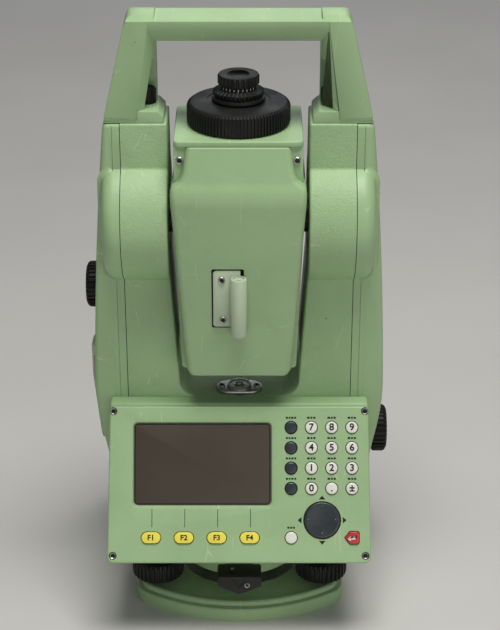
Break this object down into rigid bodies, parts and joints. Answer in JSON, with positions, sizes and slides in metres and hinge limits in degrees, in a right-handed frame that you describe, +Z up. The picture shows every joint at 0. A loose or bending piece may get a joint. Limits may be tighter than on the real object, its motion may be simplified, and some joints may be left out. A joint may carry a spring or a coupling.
{
  "type": "surveying total station",
  "caption": "Surveying instrument: tilting telescope between two standards on a levelling base, with a sloping keyboard, knobs on both sides and a carrying handle on top.",
  "frame": {"origin": "centre of the tripod thread at the underside of the base plate, on the standing axis", "axes": "+Z up along the standing axis; +X along the tilting axis, to the user's right; -Y towards the user, so that the keyboard faces -Y; the telescope points straight down at rest"},
  "size_m": [0.1801, 0.1473, 0.36],
  "materials": {
    "green_paint": "fine textured satin enamel",
    "green_cover": "satin moulded",
    "telescope_paint": "satin enamel",
    "black_knob": "satin",
    "steel": "machined",
    "display": "glossy display window",
    "boards": "circuit board",
    "level": "satin",
    "optical_glass": "polished",
    "sight_plastic": "satin",
    "dark_key": "soft gloss",
    "white_key": "soft gloss",
    "yellow_key": "soft gloss",
    "red_key": "soft gloss"
  },
  "bodies": {
    "base": {"tribrach_base_plate": "green_paint", "tribrach_spring_plate": "steel"},
    "tribrach": {"tribrach_body": "green_paint"},
    "left_foot_screw": {"foot_screw_left": "black_knob"},
    "right_foot_screw": {"foot_screw_right": "black_knob"},
    "rear_foot_screw": {"foot_screw_rear": "black_knob"},
    "lock": {"lock_key": "black_knob"},
    "instrument_base": {"base_flange": "steel", "azimuth_spindle": "steel", "horizontal_circle": "optical_glass"},
    "alidade": {"alidade_frame": "green_paint", "side_cover_left": "green_cover", "side_cover_right": "green_cover", "rear_housing": "green_paint", "keyboard_housing": "green_paint", "keyboard_panel": "green_paint", "display_module": "display", "circuit_boards": "boards", "case_screws": "steel", "circular_level": "level", "trunnion_bearings": "steel"},
    "telescope": {"telescope_housing": "telescope_paint", "telescope_front_cover": "green_cover", "telescope_screws": "steel", "trunnion_axles": "steel", "vertical_circle": "optical_glass", "objective_lens": "optical_glass", "optical_sights": "sight_plastic"},
    "horizontal_knob": {"horizontal_drive": "black_knob"},
    "vertical_knob": {"vertical_drive": "black_knob"},
    "focusing_ring": {"focus_ring": "black_knob"},
    "focus_cell": {"focusing_lens": "optical_glass"},
    "eyepiece": {"eyepiece_ring": "black_knob"},
    "handle": {"carrying_handle": "green_cover"},
    "left_handle_screw": {"handle_screw_left": "black_knob"},
    "right_handle_screw": {"handle_screw_right": "black_knob"},
    "battery": {"battery_holder": "green_cover"},
    "key_0_cap": {"key_0": "white_key"},
    "key_1_cap": {"key_1": "white_key"},
    "key_2_cap": {"key_2": "white_key"},
    "key_3_cap": {"key_3": "white_key"},
    "key_4_cap": {"key_4": "white_key"},
    "key_5_cap": {"key_5": "white_key"},
    "key_6_cap": {"key_6": "white_key"},
    "key_7_cap": {"key_7": "white_key"},
    "key_8_cap": {"key_8": "white_key"},
    "key_9_cap": {"key_9": "white_key"},
    "key_enter_cap": {"key_enter": "red_key"},
    "key_escape_cap": {"key_escape": "white_key"},
    "key_f1_cap": {"key_f1": "yellow_key"},
    "key_f2_cap": {"key_f2": "yellow_key"},
    "key_f3_cap": {"key_f3": "yellow_key"},
    "key_f4_cap": {"key_f4": "yellow_key"},
    "key_function_cap": {"key_function": "dark_key"},
    "key_menu_cap": {"key_menu": "dark_key"},
    "key_page_cap": {"key_page": "dark_key"},
    "key_point_cap": {"key_point": "white_key"},
    "key_sign_cap": {"key_sign": "white_key"},
    "key_user_cap": {"key_user": "dark_key"},
    "navigation_pad_cap": {"navigation_pad": "dark_key"}
  },
  "joints": [
    {"name": "alidade_spin", "type": "hinge", "parent": "instrument_base", "child": "alidade", "pos_m": [0, 0, 0.1], "axis": [0, 0, 1], "continuous": true},
    {"name": "telescope_tilt", "type": "hinge", "parent": "alidade", "child": "telescope", "pos_m": [0, 0, 0.24], "axis": [1, 0, 0], "continuous": true},
    {"name": "levelling_lift", "type": "slide", "parent": "base", "child": "tribrach", "axis": [0, 0, 1], "range_m": [-0.003, 0.004]},
    {"name": "instrument_lift_off", "type": "slide", "parent": "tribrach", "child": "instrument_base", "axis": [0, 0, 1], "range_m": [0, 0.03]},
    {"name": "lock_key_turn", "type": "hinge", "parent": "tribrach", "child": "lock", "pos_m": [0, -0.055, 0.03], "axis": [0, -1, 0], "range_deg": [0, 180]},
    {"name": "battery_pull", "type": "slide", "parent": "alidade", "child": "battery", "axis": [-1, 0, 0], "range_m": [0, 0.045]},
    {"name": "handle_lift", "type": "slide", "parent": "alidade", "child": "handle", "axis": [0, 0, 1], "range_m": [0, 0.02]},
    {"name": "focus_ring_turn", "type": "hinge", "parent": "telescope", "child": "focusing_ring", "pos_m": [0, 0, 0.302], "axis": [0, 0, 1], "range_deg": [-170, 170]},
    {"name": "focusing_lens_travel", "type": "slide", "parent": "telescope", "child": "focus_cell", "axis": [0, 0, 1], "range_m": [-0.0085, 0.0085]},
    {"name": "eyepiece_turn", "type": "hinge", "parent": "telescope", "child": "eyepiece", "pos_m": [0, 0, 0.315], "axis": [0, 0, 1], "range_deg": [-180, 180]},
    {"name": "vertical_knob_spin", "type": "hinge", "parent": "alidade", "child": "vertical_knob", "pos_m": [-0.08, 0.014, 0.19], "axis": [1, 0, 0], "continuous": true},
    {"name": "horizontal_knob_spin", "type": "hinge", "parent": "alidade", "child": "horizontal_knob", "pos_m": [0.08, 0.0247, 0.087], "axis": [1, 0, 0], "continuous": true},
    {"name": "left_handle_screw_turn", "type": "hinge", "parent": "handle", "child": "left_handle_screw", "pos_m": [-0.05, 0, 0.31], "axis": [0, 0, 1], "range_deg": [0, 1080]},
    {"name": "right_handle_screw_turn", "type": "hinge", "parent": "handle", "child": "right_handle_screw", "pos_m": [0.05, 0, 0.31], "axis": [0, 0, 1], "range_deg": [0, 1080]},
    {"name": "left_foot_screw_turn", "type": "hinge", "parent": "base", "child": "left_foot_screw", "pos_m": [-0.04936, -0.0285, 0.02], "axis": [0, 0, 1], "range_deg": [-1500, 1140]},
    {"name": "right_foot_screw_turn", "type": "hinge", "parent": "base", "child": "right_foot_screw", "pos_m": [0.04936, -0.0285, 0.02], "axis": [0, 0, 1], "range_deg": [-1500, 1140]},
    {"name": "rear_foot_screw_turn", "type": "hinge", "parent": "base", "child": "rear_foot_screw", "pos_m": [0, 0.057, 0.02], "axis": [0, 0, 1], "range_deg": [-1500, 1140]},
    {"name": "key_0_press", "type": "slide", "parent": "alidade", "child": "key_0_cap", "axis": [0, 0.866, -0.5], "range_m": [0, 0.001], "stiffness_N_per_m": 400, "springref_m": -0.002},
    {"name": "key_1_press", "type": "slide", "parent": "alidade", "child": "key_1_cap", "axis": [0, 0.866, -0.5], "range_m": [0, 0.001], "stiffness_N_per_m": 400, "springref_m": -0.002},
    {"name": "key_2_press", "type": "slide", "parent": "alidade", "child": "key_2_cap", "axis": [0, 0.866, -0.5], "range_m": [0, 0.001], "stiffness_N_per_m": 400, "springref_m": -0.002},
    {"name": "key_3_press", "type": "slide", "parent": "alidade", "child": "key_3_cap", "axis": [0, 0.866, -0.5], "range_m": [0, 0.001], "stiffness_N_per_m": 400, "springref_m": -0.002},
    {"name": "key_4_press", "type": "slide", "parent": "alidade", "child": "key_4_cap", "axis": [0, 0.866, -0.5], "range_m": [0, 0.001], "stiffness_N_per_m": 400, "springref_m": -0.002},
    {"name": "key_5_press", "type": "slide", "parent": "alidade", "child": "key_5_cap", "axis": [0, 0.866, -0.5], "range_m": [0, 0.001], "stiffness_N_per_m": 400, "springref_m": -0.002},
    {"name": "key_6_press", "type": "slide", "parent": "alidade", "child": "key_6_cap", "axis": [0, 0.866, -0.5], "range_m": [0, 0.001], "stiffness_N_per_m": 400, "springref_m": -0.002},
    {"name": "key_7_press", "type": "slide", "parent": "alidade", "child": "key_7_cap", "axis": [0, 0.866, -0.5], "range_m": [0, 0.001], "stiffness_N_per_m": 400, "springref_m": -0.002},
    {"name": "key_8_press", "type": "slide", "parent": "alidade", "child": "key_8_cap", "axis": [0, 0.866, -0.5], "range_m": [0, 0.001], "stiffness_N_per_m": 400, "springref_m": -0.002},
    {"name": "key_9_press", "type": "slide", "parent": "alidade", "child": "key_9_cap", "axis": [0, 0.866, -0.5], "range_m": [0, 0.001], "stiffness_N_per_m": 400, "springref_m": -0.002},
    {"name": "key_enter_press", "type": "slide", "parent": "alidade", "child": "key_enter_cap", "axis": [0, 0.866, -0.5], "range_m": [0, 0.001], "stiffness_N_per_m": 400, "springref_m": -0.002},
    {"name": "key_escape_press", "type": "slide", "parent": "alidade", "child": "key_escape_cap", "axis": [0, 0.866, -0.5], "range_m": [0, 0.001], "stiffness_N_per_m": 400, "springref_m": -0.002},
    {"name": "key_f1_press", "type": "slide", "parent": "alidade", "child": "key_f1_cap", "axis": [0, 0.866, -0.5], "range_m": [0, 0.001], "stiffness_N_per_m": 400, "springref_m": -0.002},
    {"name": "key_f2_press", "type": "slide", "parent": "alidade", "child": "key_f2_cap", "axis": [0, 0.866, -0.5], "range_m": [0, 0.001], "stiffness_N_per_m": 400, "springref_m": -0.002},
    {"name": "key_f3_press", "type": "slide", "parent": "alidade", "child": "key_f3_cap", "axis": [0, 0.866, -0.5], "range_m": [0, 0.001], "stiffness_N_per_m": 400, "springref_m": -0.002},
    {"name": "key_f4_press", "type": "slide", "parent": "alidade", "child": "key_f4_cap", "axis": [0, 0.866, -0.5], "range_m": [0, 0.001], "stiffness_N_per_m": 400, "springref_m": -0.002},
    {"name": "key_function_press", "type": "slide", "parent": "alidade", "child": "key_function_cap", "axis": [0, 0.866, -0.5], "range_m": [0, 0.001], "stiffness_N_per_m": 400, "springref_m": -0.002},
    {"name": "key_menu_press", "type": "slide", "parent": "alidade", "child": "key_menu_cap", "axis": [0, 0.866, -0.5], "range_m": [0, 0.001], "stiffness_N_per_m": 400, "springref_m": -0.002},
    {"name": "key_page_press", "type": "slide", "parent": "alidade", "child": "key_page_cap", "axis": [0, 0.866, -0.5], "range_m": [0, 0.001], "stiffness_N_per_m": 400, "springref_m": -0.002},
    {"name": "key_point_press", "type": "slide", "parent": "alidade", "child": "key_point_cap", "axis": [0, 0.866, -0.5], "range_m": [0, 0.001], "stiffness_N_per_m": 400, "springref_m": -0.002},
    {"name": "key_sign_press", "type": "slide", "parent": "alidade", "child": "key_sign_cap", "axis": [0, 0.866, -0.5], "range_m": [0, 0.001], "stiffness_N_per_m": 400, "springref_m": -0.002},
    {"name": "key_user_press", "type": "slide", "parent": "alidade", "child": "key_user_cap", "axis": [0, 0.866, -0.5], "range_m": [0, 0.001], "stiffness_N_per_m": 400, "springref_m": -0.002},
    {"name": "navigation_pad_press", "type": "slide", "parent": "alidade", "child": "navigation_pad_cap", "axis": [0, 0.866, -0.5], "range_m": [0, 0.0008], "stiffness_N_per_m": 400, "springref_m": -0.002}
  ],
  "couplings": [
    {"joint": "left_foot_screw_turn", "follows": "levelling_lift", "rad_per_m": -6283.2},
    {"joint": "right_foot_screw_turn", "follows": "levelling_lift", "rad_per_m": -6283.2},
    {"joint": "rear_foot_screw_turn", "follows": "levelling_lift", "rad_per_m": -6283.2},
    {"joint": "horizontal_knob_spin", "follows": "alidade_spin", "ratio": 36},
    {"joint": "vertical_knob_spin", "follows": "telescope_tilt", "ratio": -1.7742},
    {"joint": "focusing_lens_travel", "follows": "focus_ring_turn", "m_per_rad": 0.0026963}
  ]
}
